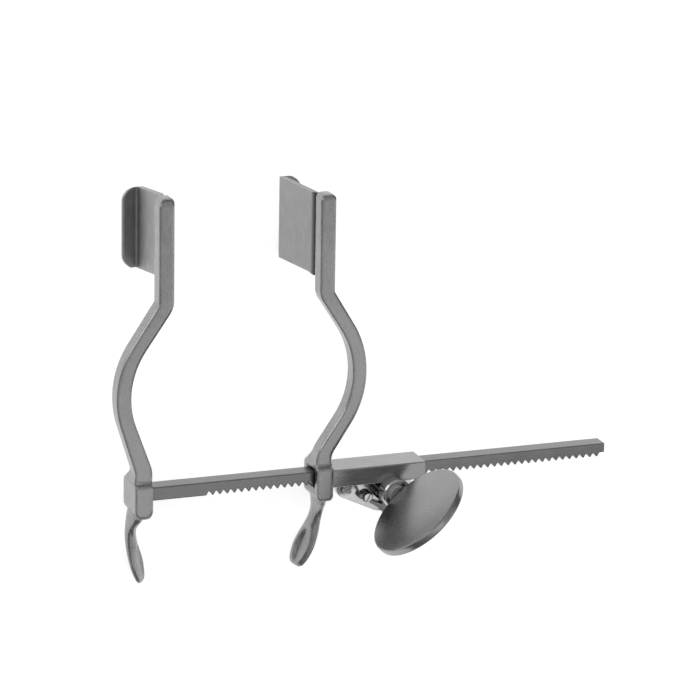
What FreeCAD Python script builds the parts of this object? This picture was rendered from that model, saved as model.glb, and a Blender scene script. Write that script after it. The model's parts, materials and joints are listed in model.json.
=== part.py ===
import FreeCAD, Part
import math
import os

# A self retaining retractor for surgery: two bowed arms with bent blades, one fixed to the end of a
# toothed bar and one on a slide. A pinion under the bar drives the slide, a round thumb plate turns the
# pinion and a pawl holds it.
#
# Working frame: X runs along the bar towards its free end, Y from the bar to the blades, Z up from the
# blades to the thumb plate. The top face of the bar (the side towards the blades) is at Y = 0 and its
# middle plane is Z = 0. All sizes are in millimetres. At the end every piece is laid down on its blades
# and finger tangs, with the floor at Z = 0.

V = FreeCAD.Vector

# Toothed bar
TOOTH_PITCH = 3.5
TOOTH_DEPTH = 1.9
TOOTH_TIP_FLAT = 0.5
PRESSURE_ANGLE = 32.0
RACK_TIPS = 56
RACK_WIDTH = 8.8
RACK_HEIGHT = 6.3
RACK_END_LAND = 3.8
RACK_EDGE_CHAMFER = 0.5
RACK_TENON_STEP = 0.6
RACK_SOCKET_DEPTH = 6.0
RACK_PIN_RADIUS = 1.2
RACK_PIN_COVER = 3.0

# Position of the slide at rest, counted in teeth
OPENING_TEETH = 20
TIPS_BEFORE_PINION = 25

# Pinion
PINION_TEETH = 12
PINION_ADDENDUM = 0.75
PINION_DEDENDUM = 1.2
PINION_BACKLASH = 0.16
PINION_SIDE_GAP = 0.15
PINION_FROM_BLADE = 37.5

# Clearances
RUN = 0.1
SHAFT_RUN = 0.04
TIP_GAP = 0.25

# Arms, measured in plan from the inner face of the blade outwards
ARM_WIDTH = 7.0
ARM_DEPTH = 7.6
ARM_FRONT = 7.4
ARM_BEND_ROUND = 6.0
ARM_ARC_SHARE = 0.64
BOW_WIDTH = 6.0
BOW_ROUND = 42.0
FIXED_TOP_Y = 136.2
FIXED_TOP_ROUNDS = (1.8, 4.6, 3.5)
FIXED_BEND_Y = 86.2
FIXED_BOW_Y = 49.9
FIXED_BOW_OUT = 24.4
SLIDING_TOP_Y = 132.7
SLIDING_TOP_ROUNDS = (3.0, 2.2, 2.2)
SLIDING_BEND_Y = 85.7
SLIDING_BOW_Y = 46.4
SLIDING_BOW_OUT = 24.4

# Bosses where the arms meet the bar
FIXED_BOSS_WIDTH = 8.4
SLIDING_BOSS_WIDTH = 7.8
BOSS_DEPTH = 18.5
BOSS_TOP = 2.0
BOSS_BOTTOM = -13.7
BOSS_SHOULDER = 8.5
BOSS_LEDGE = 1.6
FIXED_BOSS_ROUND = 4.0
SLIDING_BOSS_ROUND = 2.8
FIXED_FOOT_WIDTH = 8.0
FIXED_FOOT_SHIFT = -0.5
SLIDING_FOOT_WIDTH = 6.5
SLIDING_FOOT_SHIFT = -0.45
BOSS_HOLE_BELOW = 2.5
BOSS_HOLE_CHAMFER = 1.3
FIXED_BOSS_OUT = 14.5
SLIDING_BOSS_OUT = 3.2

# Finger tangs under the bosses: places down the tang with its thickness and its width
TANG_ROOT_Y = -12.5
TANG_FLARE_Y = -15.5
TANG_NECK_Y = -20.0
TANG_MIDDLE_Y = -28.5
TANG_PADDLE_Y = -38.0
TANG_END_Y = -46.2
TANG_ROOT_THICKNESS = 7.0
TANG_FLARE_THICKNESS = 5.8
TANG_NECK_THICKNESS = 4.4
TANG_THICKNESS = 4.4
TANG_END_THICKNESS = 3.4
TANG_ROOT_WIDTH = 15.0
TANG_FLARE_WIDTH = 14.0
TANG_NECK_WIDTH = 9.4
TANG_MIDDLE_WIDTH = 10.2
TANG_WIDTH = 12.2
TANG_END_WIDTH = 10.6
TANG_TIP_SHARES = ((3.6, 1.0), (1.1, 0.78), (0.0, 0.36))
TANG_DISH_LENGTH = 20.0
TANG_DISH_WIDTH = 8.4
TANG_DISH_DEPTH = 1.5
FIXED_TANG_SHIFTS = (1.0, 2.4, 3.7, 3.1, 0.7, -1.5)
SLIDING_TANG_SHIFTS = (0.0, -0.2, -0.9, -3.4, -7.5, -11.2)
FIXED_TANG_STOUT = 1.2
SLIDING_TANG_STOUT = 1.0
FIXED_TANG_TWIST = 36.0
SLIDING_TANG_TWIST = 26.0

# Blades
BLADE_HEIGHT = 39.0
BLADE_DEPTH = 49.0
BLADE_THICKNESS = 2.4
BLADE_STEP = 0.6
BLADE_ROOT = 4.5
BLADE_GROOVE = 2.6
BLADE_GROOVE_LENGTH = 7.0
BLADE_HEEL_DROP = 1.2
BLADE_HEEL_LIFT = 0.5
BLADE_HEEL_BACK = 10.0
BLADE_HEEL_ROUND = 14.0
FIXED_LIP_REACH = 10.0
SLIDING_LIP_REACH = 11.4
BLADE_BEND_ROUND = 3.6
BLADE_CORNER = 4.0
BLADE_LIP_TOP_CORNER = 7.5
BLADE_LIP_LOW_CORNER = 8.5
BLADE_TOE_IN = 3.0
BLADE_CORNER_Y = 94.2
FIXED_BLADE_LEAN = 8.8
SLIDING_BLADE_LEAN = 2.7
FLOOR_FINENESS = 0.02

# Slide housing over the bar
HOUSING_LENGTH = 46.2
HOUSING_DEPTH = 16.4
HOUSING_TOP_WALL = 1.0
HOUSING_BELOW = 7.5
HOUSING_EDGE = 0.5
HOUSING_RIVET_RADIUS = 1.0
HOUSING_RIVET_LENGTH = 7.0
LAP_HEIGHT = 6.0
LAP_THICKNESS = 1.8

# Carrier plate behind the pinion
CARRIER_ROUND = 13.7
CARRIER_NOSE_ROUND = 4.6
CARRIER_NOSE_BACK = 19.1
CARRIER_NOSE_DOWN = 0.9
CARRIER_SCREW_RADIUS = 1.1
CARRIER_SCREW_HEAD = 2.0
CARRIER_SCREW_SPACING = 15.0
CARRIER_SCREW_COUNT = 3

# Shaft, bearings and thumb plate
SHAFT_RADIUS = 3.0
SHAFT_BACK_RADIUS = 2.2
BUSH_WALL = 1.3
FRONT_BOSS_RADIUS = 7.2
FRONT_BOSS_HEIGHT = 6.2
FRONT_SLEEVE_RADIUS = 5.0
FRONT_EDGE_CHAMFER = 0.7
DOWEL_RADIUS = 0.8
DOWEL_LENGTH = 5.0
DOWEL_SPREAD = 2.6
DOWEL_UP = 5.5
COLLAR_RADIUS = 4.6
COLLAR_HEIGHT = 1.5
KEY_PIN_RADIUS = 0.8
WASHER_RADIUS = 4.2
WASHER_THICKNESS = 0.8
END_SCREW_RADIUS = 1.1
END_SCREW_HEAD = 2.6
END_SCREW_HEAD_HEIGHT = 1.4
END_SCREW_DEPTH = 5.0
PLATE_RADIUS = 24.7
PLATE_FLAT_RADIUS = 9.0
PLATE_HALF_THICKNESS = 2.3
PLATE_RIM_HALF = 1.9
PLATE_EDGE_BREAK = 0.7
PLATE_ANGLE = 42.0
TENON_WIDTH = 6.0
TENON_THICKNESS = 1.5
TENON_LENGTH = 9.0

# Pawl, its screw and spring
PAWL_PIVOT_BACK = 9.0
PAWL_PIVOT_DOWN = 5.2
PAWL_THICKNESS = 2.6
PAWL_EYE_RADIUS = 2.6
PAWL_LIFT_ANGLE = 11.0
PAWL_NOSE_FROM_ROOT = 0.8
PAWL_NOSE_WIDTH = 0.7
PAWL_NOSE_FLARE = 0.7
PAWL_SHOULDER = 1.5
PAWL_SHOULDER_DOWN = 1.3
PAWL_BACK_RUN = 2.4
PAWL_BACK_STEP = 0.6
PAWL_BELLY = 1.0
PAWL_TIP_GAP = 0.4
PAWL_BODY_HEIGHT = 2.6
PAWL_LUG_OUT = 7.5
PAWL_LUG_DOWN = 18.0
PAWL_LUG_WIDTH = 3.4
PAWL_LUG_RISE = 1.5
PAWL_TAIL = 4.4
PAWL_TAIL_ROOT = 1.7
PAWL_TAIL_TOP = 1.2
PAWL_TAIL_LOW = 1.0
PIVOT_RADIUS = 1.4
PIVOT_HEAD_RADIUS = 2.1
PIVOT_HEAD_HEIGHT = 1.2
SLOT_WIDTH = 0.7
SLOT_DEPTH = 0.6
HEAD_CHAMFER_SHARE = 0.25
SPRING_THICKNESS = 0.5
SPRING_FOOT = 5.2
SPRING_HEIGHT = 2.4
SPRING_SCREW_RADIUS = 1.1
SPRING_SCREW_HEAD = 2.2
SPRING_SCREW_HEIGHT = 1.3

# Places that follow from the sizes above
OPENING = OPENING_TEETH * TOOTH_PITCH
FIXED_FACE_X = -OPENING / 2
SLIDE_FACE_X = OPENING / 2
PINION_X = SLIDE_FACE_X + PINION_FROM_BLADE
FIRST_TIP_X = PINION_X - TIPS_BEFORE_PINION * TOOTH_PITCH
RACK_END_X = FIRST_TIP_X + (RACK_TIPS - 1) * TOOTH_PITCH + RACK_END_LAND
FIXED_BOSS_X = FIXED_FACE_X - FIXED_BOSS_OUT
SLIDING_BOSS_X = SLIDE_FACE_X + SLIDING_BOSS_OUT
FLANK_RUN = TOOTH_DEPTH * math.tan(math.radians(PRESSURE_ANGLE))
TIP_TO_PITCH_LINE = (TOOTH_PITCH / 2 - TOOTH_TIP_FLAT) / 2 / math.tan(math.radians(PRESSURE_ANGLE))
PITCH_RADIUS = PINION_TEETH * TOOTH_PITCH / (2 * math.pi)
PINION_Y = -RACK_HEIGHT + TIP_TO_PITCH_LINE - PITCH_RADIUS
PINION_TIP_RADIUS = PITCH_RADIUS + PINION_ADDENDUM
PINION_ROOT_RADIUS = PITCH_RADIUS - PINION_DEDENDUM
CHANNEL_HALF = RACK_WIDTH / 2 + RUN
HOUSING_HALF = HOUSING_DEPTH / 2
HOUSING_START_X = SLIDING_BOSS_X + SLIDING_BOSS_WIDTH / 2
RACK_START_X = FIXED_BOSS_X + FIXED_BOSS_WIDTH / 2
HOUSING_END_X = HOUSING_START_X + HOUSING_LENGTH
ARM_BACK = ARM_FRONT - ARM_DEPTH
CARRIER_BACK = -HOUSING_HALF
CARRIER_FACE = -CHANNEL_HALF
FRONT_BOSS_TOP = HOUSING_HALF + FRONT_BOSS_HEIGHT
PINION_HALF = CHANNEL_HALF - PINION_SIDE_GAP
COLLAR_BASE = FRONT_BOSS_TOP + RUN
PLATE_EDGE = COLLAR_BASE + COLLAR_HEIGHT
PLATE_CENTRE_Z = PLATE_EDGE + PLATE_RADIUS - 0.3
PIVOT_X = PINION_X - PAWL_PIVOT_BACK
PIVOT_Y = PINION_Y - PAWL_PIVOT_DOWN
PAWL_BACK = CARRIER_FACE + RUN
PAWL_FRONT = PAWL_BACK + PAWL_THICKNESS
CARRIER_NOSE_X = PINION_X - CARRIER_NOSE_BACK
CARRIER_NOSE_Y = PINION_Y - CARRIER_NOSE_DOWN


def in_plan(u, v):
    return V(u, v, 0)


def in_side(u, v):
    return V(0, v, u)


def in_section(u, v):
    return V(u, 0, v)


def unit(dx, dy):
    length = math.hypot(dx, dy)
    return dx / length, dy / length


def rounded_face(corners, to_space, share=0.49):
    """Closed outline through corners (u, v, radius), each rounded by a tangent arc.

    An arc takes at most the given share of the shorter side beside it."""
    stops = []
    count = len(corners)
    for i in range(count):
        u, v, radius = corners[i]
        before = corners[i - 1]
        after = corners[(i + 1) % count]
        in_u, in_v = unit(u - before[0], v - before[1])
        out_u, out_v = unit(after[0] - u, after[1] - v)
        turn = math.acos(max(-1.0, min(1.0, in_u * out_u + in_v * out_v)))
        if radius <= 0 or turn < 1e-6:
            stops.append([(u, v)])
            continue
        room = min(math.hypot(u - before[0], v - before[1]), math.hypot(after[0] - u, after[1] - v))
        back = min(radius * math.tan(turn / 2), share * room)
        radius = back / math.tan(turn / 2)
        start = (u - in_u * back, v - in_v * back)
        end = (u + out_u * back, v + out_v * back)
        mid_u, mid_v = unit((start[0] + end[0]) / 2 - u, (start[1] + end[1]) / 2 - v)
        reach = radius / math.cos(turn / 2) - radius
        stops.append([start, (u + mid_u * reach, v + mid_v * reach), end])
    edges = []
    for i in range(count):
        here = stops[i]
        following = stops[(i + 1) % count]
        if len(here) == 3:
            points = [to_space(*p) for p in here]
            edges.append(Part.Arc(*points).toShape())
        a = to_space(*here[-1])
        b = to_space(*following[0])
        if a.distanceToPoint(b) > 1e-5:
            edges.append(Part.LineSegment(a, b).toShape())
    return Part.Face(Part.Wire(edges))


def plan_solid(corners, z_low, z_high, share=0.49):
    face = rounded_face(corners, in_plan, share)
    face.translate(V(0, 0, z_low))
    return face.extrude(V(0, 0, z_high - z_low))


def side_solid(corners, x_low, x_high):
    face = rounded_face(corners, in_side)
    face.translate(V(x_low, 0, 0))
    return face.extrude(V(x_high - x_low, 0, 0))


def section_solid(corners, y_low, y_high):
    face = rounded_face(corners, in_section)
    face.translate(V(0, y_low, 0))
    return face.extrude(V(0, y_high - y_low, 0))


def block(x_low, x_high, y_low, y_high, z_low, z_high):
    return Part.makeBox(x_high - x_low, y_high - y_low, z_high - z_low, V(x_low, y_low, z_low))


def post(x, y, radius, z_low, z_high):
    return Part.makeCylinder(radius, z_high - z_low, V(x, y, z_low))


def slotted_head(x, y, radius, z_low, height, angle=0.0):
    """Cheese head with a broken top edge and a driver slot."""
    head = post(x, y, radius, z_low, z_low + height)
    rim = [e for e in head.Edges if abs(e.BoundBox.ZMin - z_low - height) < 1e-6]
    head = head.makeChamfer(height * HEAD_CHAMFER_SHARE, rim)
    reach = radius + 1
    slot = block(-reach, reach, -SLOT_WIDTH / 2, SLOT_WIDTH / 2, 0, SLOT_DEPTH + 1)
    slot.rotate(V(0, 0, 0), V(0, 0, 1), angle)
    slot.translate(V(x, y, z_low + height - SLOT_DEPTH))
    return head.cut(slot)


def band(path):
    """Two sides of a strip that follows path, a list of (u, v, width, radius)."""
    left = []
    right = []
    for i, (u, v, width, radius) in enumerate(path):
        before = path[max(i - 1, 0)]
        after = path[min(i + 1, len(path) - 1)]
        in_u, in_v = unit(u - before[0], v - before[1]) if i > 0 else (0, 0)
        out_u, out_v = unit(after[0] - u, after[1] - v) if i < len(path) - 1 else (in_u, in_v)
        if i == 0:
            in_u, in_v = out_u, out_v
        turn = math.atan2(in_u * out_v - in_v * out_u, in_u * out_u + in_v * out_v)
        normal_u, normal_v = unit(-(in_v + out_v), in_u + out_u)
        offset = width / 2 / math.cos(turn / 2)
        change = math.copysign(width / 2, turn) if radius > 0 and 0 < i < len(path) - 1 else 0
        left.append((u + normal_u * offset, v + normal_v * offset, max(radius - change, 0.5)))
        right.append((u - normal_u * offset, v - normal_v * offset, max(radius + change, 0.5)))
    return left, right


# Arms

def arm_plan(face_x, outward, top, bend_y, bow, foot, boss):
    """Outline of an arm in plan, from the round top down the bow to the lower end of the boss."""
    middle = ARM_WIDTH / 2
    top_y, (inner_round, outer_round, _) = top
    bow_out, bow_y = bow
    foot_shift, foot_width = foot
    boss_out, boss_width, boss_round = boss
    path = [
        (middle, top_y, ARM_WIDTH, inner_round),
        (middle, bend_y, ARM_WIDTH, ARM_BEND_ROUND),
        (middle + bow_out, bow_y, BOW_WIDTH, BOW_ROUND),
        (boss_out + foot_shift, BOSS_SHOULDER, foot_width, 12.0),
        (boss_out, BOSS_TOP, boss_width, 8.0),
        (boss_out, BOSS_BOTTOM, boss_width, boss_round),
    ]
    outer, inner = band(path)
    outer[0] = outer[0][:2] + (outer_round,)
    corners = [(face_x + outward * u, v, r) for u, v, r in outer + inner[::-1]]
    return plan_solid(corners, -BOSS_DEPTH, BOSS_DEPTH, ARM_ARC_SHARE)


def arm_profile(top_y, front_round):
    """Outline of an arm seen along the bar: slim bar over a deep boss."""
    half = BOSS_DEPTH / 2
    return [
        (ARM_FRONT, top_y, front_round),
        (ARM_FRONT, BOSS_TOP + BOSS_LEDGE, 0.6),
        (half, BOSS_TOP, 0.6),
        (half, BOSS_BOTTOM, 1.2),
        (-half, BOSS_BOTTOM, 3.0),
        (-half, BOSS_TOP, 2.0),
        (ARM_BACK, BOSS_SHOULDER, 5.0),
        (ARM_BACK, top_y, 0.8),
    ]


def tang_stations(boss_x, outward, shifts, stout, twist):
    """Oval sections down a tang: centre, direction of travel, thickness, width and turn."""
    rows = [
        (TANG_ROOT_Y, TANG_ROOT_THICKNESS, TANG_ROOT_WIDTH, 0.0),
        (TANG_FLARE_Y, TANG_FLARE_THICKNESS, TANG_FLARE_WIDTH, 0.0),
        (TANG_NECK_Y, TANG_NECK_THICKNESS * stout, TANG_NECK_WIDTH, 0.3),
        (TANG_MIDDLE_Y, TANG_THICKNESS * stout, TANG_MIDDLE_WIDTH, 0.8),
        (TANG_PADDLE_Y, TANG_THICKNESS, TANG_WIDTH, 1.0),
    ]
    places = list(shifts[:-1])
    run = TANG_PADDLE_Y - TANG_END_Y
    for rise, share in TANG_TIP_SHARES:
        rows.append((TANG_END_Y + rise, TANG_END_THICKNESS * share, TANG_END_WIDTH * share, 1.0))
        places.append(shifts[-1] + (shifts[-2] - shifts[-1]) * rise / run)
    stations = []
    for i, (y, thickness, width, share) in enumerate(rows):
        before = max(i - 1, 0)
        after = min(i + 1, len(rows) - 1)
        along = V(outward * (places[after] - places[before]), rows[after][0] - rows[before][0], 0).normalize()
        centre = V(boss_x + outward * places[i], y, 0)
        stations.append((centre, along, thickness, width, -outward * twist * share))
    return stations


def oval_wire(centre, along, thickness, width, turn):
    """Ellipse square to the tang's run, long across the bar, turned about the run."""
    ellipse = Part.Ellipse(V(0, 0, 0), width / 2, thickness / 2).toShape()
    across = along.cross(V(0, 0, 1))
    frame = FreeCAD.Matrix(0, across.x, along.x, centre.x,
                           0, across.y, along.y, centre.y,
                           1, across.z, along.z, centre.z,
                           0, 0, 0, 1)
    ellipse = ellipse.transformGeometry(frame)
    wire = Part.Wire(ellipse)
    wire.rotate(centre, along, turn)
    return wire


def finger_tang(boss_x, outward, shifts, stout, twist):
    """Tang drawn out of the boss: round neck, then a spoon with a dish for the finger."""
    stations = tang_stations(boss_x, outward, shifts, stout, twist)
    tang = Part.makeLoft([oval_wire(*station) for station in stations], True)
    paddle = [station for station in stations if station[0].y == TANG_PADDLE_Y]
    centre, along, thickness, _, turn = paddle[0]
    inward = along.cross(V(0, 0, 1)) * outward
    dish = Part.makeSphere(1.0)
    stretch = FreeCAD.Matrix()
    stretch.scale(V(TANG_DISH_DEPTH, TANG_DISH_LENGTH / 2, TANG_DISH_WIDTH / 2))
    dish = dish.transformGeometry(stretch)
    lean = math.degrees(math.atan2(along.x, -along.y))
    dish.rotate(V(0, 0, 0), V(0, 0, 1), lean)
    dish.translate(centre + inward * (thickness / 2))
    dish.rotate(centre, along, turn)
    return tang.cut(dish)


def forged_arm(face_x, outward, top, bend_y, bow, foot, boss):
    plan = arm_plan(face_x, outward, top, bend_y, bow, foot, boss)
    reach = bow[0] + boss[0]
    top_y, rounds = top
    profile = side_solid(arm_profile(top_y, rounds[-1]), face_x - reach, face_x + reach)
    return plan.common(profile)


def fixed_arm():
    arm = forged_arm(FIXED_FACE_X, -1, (FIXED_TOP_Y, FIXED_TOP_ROUNDS), FIXED_BEND_Y,
                     (FIXED_BOW_OUT, FIXED_BOW_Y), (FIXED_FOOT_SHIFT, FIXED_FOOT_WIDTH),
                     (FIXED_BOSS_OUT, FIXED_BOSS_WIDTH, FIXED_BOSS_ROUND))
    tang = finger_tang(FIXED_BOSS_X, -1, FIXED_TANG_SHIFTS, FIXED_TANG_STOUT, FIXED_TANG_TWIST)
    return arm.fuse(tang).cut([rack_tenon(), rack_pin()])


def sliding_arm():
    arm = forged_arm(SLIDE_FACE_X, 1, (SLIDING_TOP_Y, SLIDING_TOP_ROUNDS), SLIDING_BEND_Y,
                     (SLIDING_BOW_OUT, SLIDING_BOW_Y), (SLIDING_FOOT_SHIFT, SLIDING_FOOT_WIDTH),
                     (SLIDING_BOSS_OUT, SLIDING_BOSS_WIDTH, SLIDING_BOSS_ROUND))
    tang = finger_tang(SLIDING_BOSS_X, 1, SLIDING_TANG_SHIFTS, SLIDING_TANG_STOUT, SLIDING_TANG_TWIST)
    low = SLIDING_BOSS_X - SLIDING_BOSS_WIDTH / 2
    hole_bottom = -RACK_HEIGHT - BOSS_HOLE_BELOW
    hole = block(low - 1, HOUSING_START_X + 1, hole_bottom, RUN, -CHANNEL_HALF, CHANNEL_HALF)
    wide = BOSS_HOLE_CHAMFER
    mouth = Part.makeLoft([
        box_wire(low, hole_bottom - wide, RUN + wide, CHANNEL_HALF + wide),
        box_wire(low + wide, hole_bottom, RUN, CHANNEL_HALF)], True)
    return arm.fuse(tang).cut([hole, mouth] + housing_rivet_list())


def box_wire(x, y_low, y_high, z_half):
    points = [V(x, y_low, -z_half), V(x, y_high, -z_half), V(x, y_high, z_half), V(x, y_low, z_half)]
    return Part.makePolygon(points + points[:1])


# Blades

def blade_low_far(lean):
    """Height of the blade's lower edge at its far end; the round corner there touches the floor."""
    angle = math.radians(lean)
    return BLADE_CORNER_Y - BLADE_CORNER * (math.tan(angle) + 1 / math.cos(angle))


def blade(face_x, outward, lean, lip_reach):
    """Bent plate behind the arm: grooved root, a wall that leans and toes in, and an outward lip."""
    root = ARM_BACK
    far = root - BLADE_DEPTH
    drift = -BLADE_DEPTH * math.tan(math.radians(BLADE_TOE_IN))
    inner = BLADE_STEP
    outer = inner + BLADE_THICKNESS
    lip = inner + drift + lip_reach
    corners = [
        (BLADE_GROOVE, root, 0),
        (ARM_WIDTH, root, 0),
        (ARM_WIDTH, root - 0.8, 0.4),
        (outer, root - BLADE_ROOT, 4.0),
        (outer + drift, far + BLADE_THICKNESS, BLADE_BEND_ROUND - BLADE_THICKNESS),
        (lip, far + BLADE_THICKNESS + 0.8, BLADE_THICKNESS * 0.45),
        (lip, far + 0.8, BLADE_THICKNESS * 0.45),
        (inner + drift, far, BLADE_BEND_ROUND),
        (inner, root - BLADE_GROOVE_LENGTH, 8.0),
    ]
    corners = [(face_x + outward * u, z, r) for u, z, r in corners]
    low_far = blade_low_far(lean)
    slope = math.tan(math.radians(lean))
    low = low_far + BLADE_DEPTH * slope
    top = low + BLADE_HEIGHT
    reach = BLADE_HEIGHT
    wall = section_solid(corners, low - reach, top + reach)
    heel_y = low - BLADE_HEEL_BACK * slope + BLADE_HEEL_LIFT
    side = side_solid([
        (root, top, 0),
        (root, low - BLADE_HEEL_DROP, 0),
        (root - BLADE_HEEL_BACK, heel_y, BLADE_HEEL_ROUND),
        (far, low_far, BLADE_CORNER),
        (far, low_far + BLADE_HEIGHT, BLADE_CORNER)], face_x - reach, face_x + reach)
    inside = face_x - outward * reach
    edge = face_x + outward * lip
    front = plan_solid([
        (inside, top, 0),
        (inside, low - BLADE_HEEL_DROP, 0),
        (edge, low, BLADE_LIP_LOW_CORNER),
        (edge, top, BLADE_LIP_TOP_CORNER)], far - reach, root + 1)
    front.rotate(V(face_x, top, root), V(1, 0, 0), -lean)
    return wall.common(side).common(front)


# Toothed bar

def rack_tenon():
    step = RACK_TENON_STEP
    half = RACK_WIDTH / 2 - step
    return block(RACK_START_X - RACK_SOCKET_DEPTH, RACK_START_X, -RACK_HEIGHT + step, -step, -half, half)


def rack_pin():
    x = RACK_START_X - RACK_SOCKET_DEPTH / 2
    half = BOSS_DEPTH / 2
    return post(x, -RACK_HEIGHT / 2, RACK_PIN_RADIUS, -half, half - RACK_PIN_COVER)


def rack_bar():
    tip_y = -RACK_HEIGHT
    root_y = tip_y + TOOTH_DEPTH
    half_tip = TOOTH_TIP_FLAT / 2
    points = [(RACK_START_X, 0), (RACK_START_X, tip_y), (FIRST_TIP_X - TOOTH_PITCH + half_tip, tip_y)]
    for i in range(RACK_TIPS):
        x = FIRST_TIP_X + i * TOOTH_PITCH
        points.append((x - TOOTH_PITCH + half_tip + FLANK_RUN, root_y))
        points.append((x - half_tip - FLANK_RUN, root_y))
        points.append((x - half_tip, tip_y))
        points.append((x + half_tip, tip_y))
    last = FIRST_TIP_X + (RACK_TIPS - 1) * TOOTH_PITCH
    points.append((last + half_tip + FLANK_RUN, root_y))
    points.append((RACK_END_X, root_y))
    points.append((RACK_END_X, 0))
    half = RACK_WIDTH / 2
    bar = plan_solid([(x, y, 0) for x, y in points], -half, half)
    chamfer = RACK_EDGE_CHAMFER
    for side in (-1, 1):
        wedge = side_solid([(side * half, -chamfer, 0), (side * (half - chamfer), 0, 0),
                            (side * (half + 1), 1, 0)], RACK_START_X, RACK_END_X)
        bar = bar.cut(wedge)
    return bar.fuse(rack_tenon()).cut(rack_pin())


# Slide housing and the plate behind the pinion

def housing_rivet_list():
    """Two dowels join the housing to the boss of the sliding arm, above and below the bar's plane."""
    middle = (CHANNEL_HALF + HOUSING_HALF) / 2
    rivets = []
    for side in (-1, 1):
        start = V(HOUSING_START_X - HOUSING_RIVET_LENGTH / 2, -RACK_HEIGHT / 2, side * middle)
        rivets.append(Part.makeCylinder(HOUSING_RIVET_RADIUS, HOUSING_RIVET_LENGTH, start, V(1, 0, 0)))
    return rivets


def carrier_screw_places():
    first = PINION_X - CARRIER_SCREW_SPACING * (CARRIER_SCREW_COUNT - 1) / 2
    row_y = -HOUSING_BELOW + LAP_HEIGHT / 2
    return [(first + i * CARRIER_SCREW_SPACING, row_y) for i in range(CARRIER_SCREW_COUNT)]


def carrier_screw_list():
    """Countersunk screws from behind, through the lap of the carrier into the housing."""
    screws = []
    head = CARRIER_SCREW_HEAD - CARRIER_SCREW_RADIUS
    for x, y in carrier_screw_places():
        shank = post(x, y, CARRIER_SCREW_RADIUS, CARRIER_BACK + head, -CHANNEL_HALF - RUN)
        cone = Part.makeCone(CARRIER_SCREW_HEAD, CARRIER_SCREW_RADIUS, head, V(x, y, CARRIER_BACK))
        screws.append(shank.fuse(cone).removeSplitter())
    return screws


def carrier_outline():
    """Teardrop: a large round about the pinion and a small round about the spring screw."""
    big = post(PINION_X, PINION_Y, CARRIER_ROUND, CARRIER_BACK, CARRIER_FACE)
    small = post(CARRIER_NOSE_X, CARRIER_NOSE_Y, CARRIER_NOSE_ROUND, CARRIER_BACK, CARRIER_FACE)
    run_x = PINION_X - CARRIER_NOSE_X
    run_y = PINION_Y - CARRIER_NOSE_Y
    length = math.hypot(run_x, run_y)
    lean = math.asin((CARRIER_ROUND - CARRIER_NOSE_ROUND) / length)
    along = math.atan2(run_y, run_x)
    upper = along + math.pi / 2 + lean
    lower = along - math.pi / 2 - lean
    points = []
    for angle in (upper, lower):
        points.append((CARRIER_NOSE_X + CARRIER_NOSE_ROUND * math.cos(angle),
                       CARRIER_NOSE_Y + CARRIER_NOSE_ROUND * math.sin(angle), 0))
    for angle in (lower, upper):
        points.append((PINION_X + CARRIER_ROUND * math.cos(angle),
                       PINION_Y + CARRIER_ROUND * math.sin(angle), 0))
    return big.fuse([small, plan_solid(points, CARRIER_BACK, CARRIER_FACE)]).removeSplitter()


def lap_recess():
    left = CARRIER_NOSE_X - CARRIER_NOSE_ROUND
    right = PINION_X + CARRIER_ROUND
    return block(left, right, -HOUSING_BELOW, -HOUSING_BELOW + LAP_HEIGHT, CARRIER_BACK,
                 CARRIER_BACK + LAP_THICKNESS)


def slide_housing():
    """Cap over the bar: top wall, front wall and a back wall stepped for the carrier plate."""
    half = HOUSING_HALF
    body = side_solid([(-half, HOUSING_TOP_WALL, HOUSING_EDGE), (half, HOUSING_TOP_WALL, HOUSING_EDGE),
                       (half, -HOUSING_BELOW, HOUSING_EDGE), (-half, -HOUSING_BELOW, 0)],
                      HOUSING_START_X, HOUSING_END_X)
    channel = block(HOUSING_START_X - 1, HOUSING_END_X + 1, -HOUSING_BELOW - 1, RUN,
                    -CHANNEL_HALF, CHANNEL_HALF)
    seats = [post(PINION_X, PINION_Y, front_bush_radius(), CHANNEL_HALF - 1, HOUSING_HALF),
             post(PINION_X, PINION_Y, back_bush_radius(), CARRIER_BACK, CARRIER_FACE)]
    holes = [channel, lap_recess()] + seats + housing_rivet_list() + carrier_screw_list() + dowel_list()
    return body.cut(holes)


def carrier_plate():
    plate = carrier_outline()
    above = block(HOUSING_START_X - CARRIER_ROUND, HOUSING_END_X + CARRIER_ROUND, -HOUSING_BELOW, CARRIER_ROUND,
                  CARRIER_BACK - 1, CARRIER_FACE + 1)
    plate = plate.cut(above).fuse(lap_recess()).removeSplitter()
    bush_seat = post(PINION_X, PINION_Y, back_bush_radius(), CARRIER_BACK, CARRIER_FACE)
    holes = [bush_seat, post(PIVOT_X, PIVOT_Y, PIVOT_RADIUS * 0.75, CARRIER_BACK, CARRIER_FACE)]
    holes.append(post(CARRIER_NOSE_X, CARRIER_NOSE_Y, SPRING_SCREW_RADIUS, CARRIER_BACK, CARRIER_FACE))
    return plate.cut(holes + carrier_screw_list())


# Bearings

def dowel_list():
    """Two dowels between the front wall of the housing and the bearing boss."""
    dowels = []
    for side in (-1, 1):
        x = PINION_X + side * DOWEL_SPREAD
        y = PINION_Y + DOWEL_UP
        low = HOUSING_HALF - DOWEL_LENGTH / 2
        dowels.append(post(x, y, DOWEL_RADIUS, low, low + DOWEL_LENGTH))
    return dowels


def front_bush_radius():
    return SHAFT_RADIUS + SHAFT_RUN + BUSH_WALL


def back_bush_radius():
    return SHAFT_BACK_RADIUS + SHAFT_RUN + BUSH_WALL


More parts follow.
